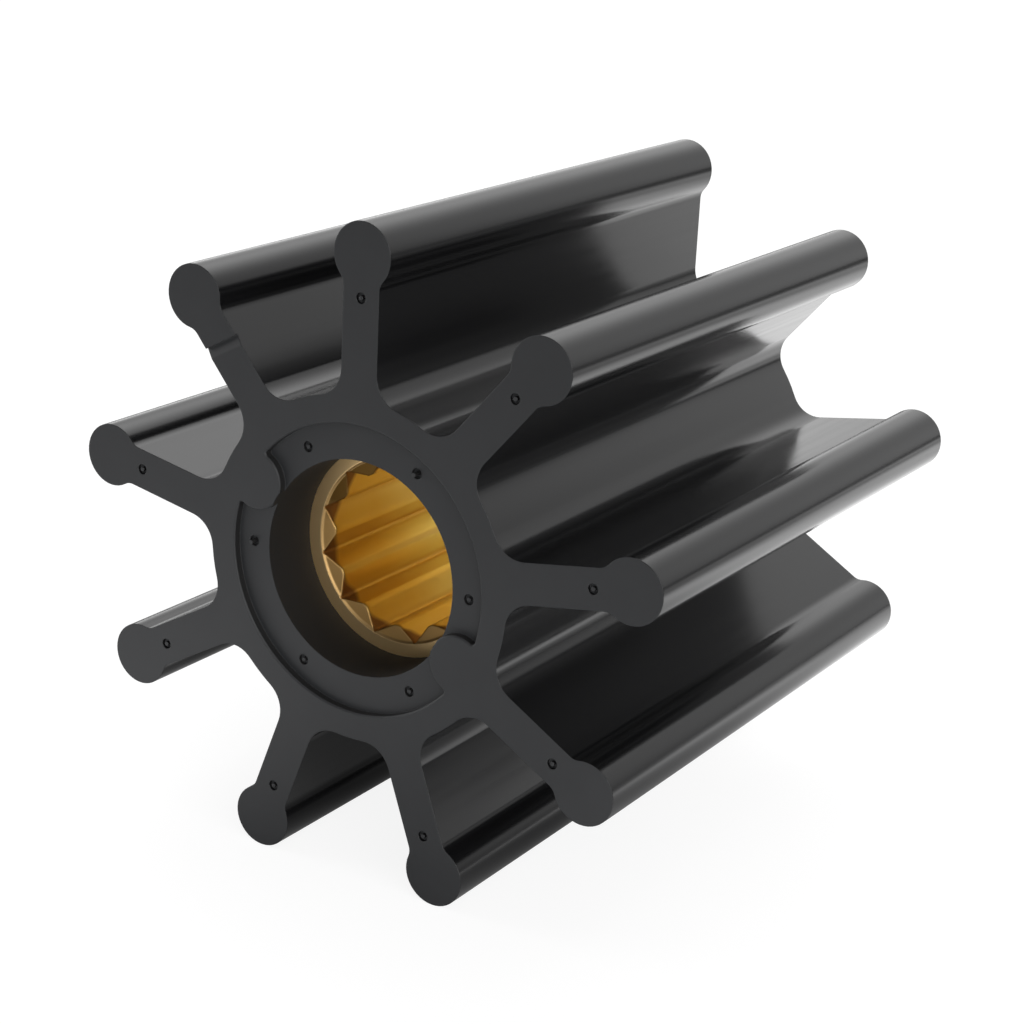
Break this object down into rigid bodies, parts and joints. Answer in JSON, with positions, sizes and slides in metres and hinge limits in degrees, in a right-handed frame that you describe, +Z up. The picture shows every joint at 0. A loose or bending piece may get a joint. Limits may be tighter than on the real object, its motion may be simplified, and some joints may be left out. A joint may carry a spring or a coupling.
{
  "type": "rubber pump impeller",
  "caption": "Flexible rubber pump impeller: long straight bulb-tipped blades round a hub with recessed end faces, moulded on a splined brass bush.",
  "frame": {"origin": "on the bore axis at mid-length, where the splined shaft seats", "axes": "+Y along the bore from the front face to the rear face, +Z up through the middle of one blade, +X to the right seen from the front"},
  "size_m": [0.0936, 0.086, 0.0924],
  "materials": {
    "moulded_rubber": "glossy moulded sides, matte end faces",
    "machined_brass": "machined"
  },
  "bodies": {
    "root": {"rubber_body": "moulded_rubber", "spline_bush": "machined_brass"}
  },
  "joints": []
}
